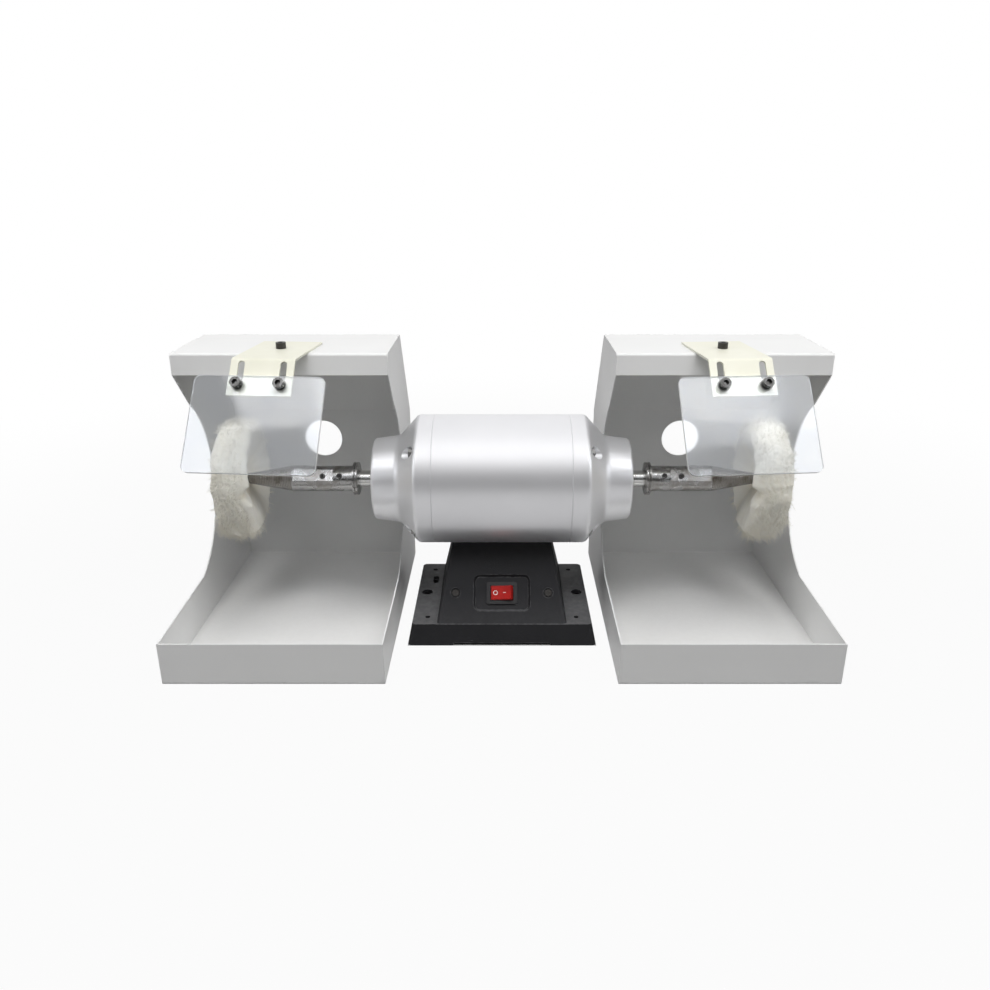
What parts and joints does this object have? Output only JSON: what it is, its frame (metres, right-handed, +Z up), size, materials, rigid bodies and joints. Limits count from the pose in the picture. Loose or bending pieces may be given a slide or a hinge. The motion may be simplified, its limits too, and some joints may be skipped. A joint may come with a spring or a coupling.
{
  "type": "dental polishing lathe",
  "caption": "Double-ended bench polishing motor on a pedestal with a rocker switch, tapered spindles with cotton buffs, and an open suction hood with a clear shield at each side.",
  "frame": {"origin": "on the bench, below the middle of the motor", "axes": "+X along the motor shaft to the right, +Y to the back, +Z up"},
  "size_m": [0.658, 0.308, 0.3064],
  "materials": {
    "black_casting": "fine textured black paint on cast aluminium",
    "zinc_steel": "zinc plated steel",
    "black_plastic": "black moulded switch plastic",
    "red_plastic": "red translucent rocker",
    "copper": "copper and brass electrical parts",
    "white_plastic": "off-white moulded plastic",
    "black_rubber": "black rubber",
    "silver_paint": "satin silver paint on cast aluminium",
    "laminations": "stacked electrical steel",
    "bearing_steel": "ground steel",
    "ground_steel": "turned and ground steel with light stains",
    "black_oxide": "blackened steel",
    "cotton": "stitched cotton cloth",
    "hood_paint": "light grey powder coat on folded sheet steel",
    "cream_paint": "cream powder coat on sheet steel",
    "clear_acrylic": "clear acrylic sheet"
  },
  "bodies": {
    "root": {"base_casting": "black_casting", "base_cover": "zinc_steel", "base_cover_screws": "zinc_steel", "saddle_bolts": "zinc_steel", "panel_screws": "zinc_steel", "switch_housing": "black_plastic", "switch_terminals": "copper", "capacitor_carrier": "zinc_steel", "capacitor": "white_plastic", "capacitor_strap": "zinc_steel", "terminal_block": "white_plastic", "cable_inlet": "black_rubber", "motor_barrel": "silver_paint", "left_end_bell": "silver_paint", "right_end_bell": "silver_paint", "through_bolts": "zinc_steel", "through_bolt_nuts": "zinc_steel", "stator_core": "laminations", "stator_windings": "copper", "bearing_outer_rings": "bearing_steel", "bearing_balls": "bearing_steel", "bearing_cages": "copper", "wave_spring": "bearing_steel", "shaft_seals": "black_rubber", "left_hood_wrap": "hood_paint", "right_hood_wrap": "hood_paint", "left_hood_inner_side": "hood_paint", "right_hood_inner_side": "hood_paint", "left_hood_outer_side": "hood_paint", "right_hood_outer_side": "hood_paint", "bracket_screws": "zinc_steel", "bracket_nuts": "zinc_steel"},
    "rotor": {"shaft": "bearing_steel", "rotor_core": "laminations", "bearing_inner_rings": "bearing_steel", "left_spindle": "ground_steel", "right_spindle": "ground_steel", "left_slinger": "ground_steel", "right_slinger": "ground_steel", "set_screws": "black_oxide", "left_buff": "cotton", "right_buff": "cotton"},
    "rocker": {"switch_rocker": "red_plastic"},
    "left_arm": {"left_bracket": "cream_paint"},
    "right_arm": {"right_bracket": "cream_paint"},
    "left_guard": {"left_shield": "clear_acrylic", "left_shield_screws": "zinc_steel", "left_shield_washers": "zinc_steel", "left_shield_nuts": "zinc_steel"},
    "right_guard": {"right_shield": "clear_acrylic", "right_shield_screws": "zinc_steel", "right_shield_washers": "zinc_steel", "right_shield_nuts": "zinc_steel"}
  },
  "joints": [
    {"name": "rotor_spin", "type": "hinge", "parent": "root", "child": "rotor", "pos_m": [0, 0, 0.158], "axis": [1, 0, 0], "continuous": true},
    {"name": "rocker_tilt", "type": "hinge", "parent": "root", "child": "rocker", "pos_m": [0, -0.05185, 0.04697], "axis": [0, 0.5795, 0.815], "range_deg": [0, 20]},
    {"name": "left_bracket_swivel", "type": "hinge", "parent": "root", "child": "left_arm", "pos_m": [-0.221, -0.012, 0.298], "axis": [0, 0, 1], "range_deg": [-15, 15]},
    {"name": "right_bracket_swivel", "type": "hinge", "parent": "root", "child": "right_arm", "pos_m": [0.221, -0.012, 0.298], "axis": [0, 0, 1], "range_deg": [-15, 15]},
    {"name": "left_shield_slide", "type": "slide", "parent": "left_arm", "child": "left_guard", "axis": [0.0512, 0.5855, 0.809], "range_m": [0, 0.0175]},
    {"name": "right_shield_slide", "type": "slide", "parent": "right_arm", "child": "right_guard", "axis": [-0.0512, 0.5855, 0.809], "range_m": [0, 0.0175]}
  ]
}
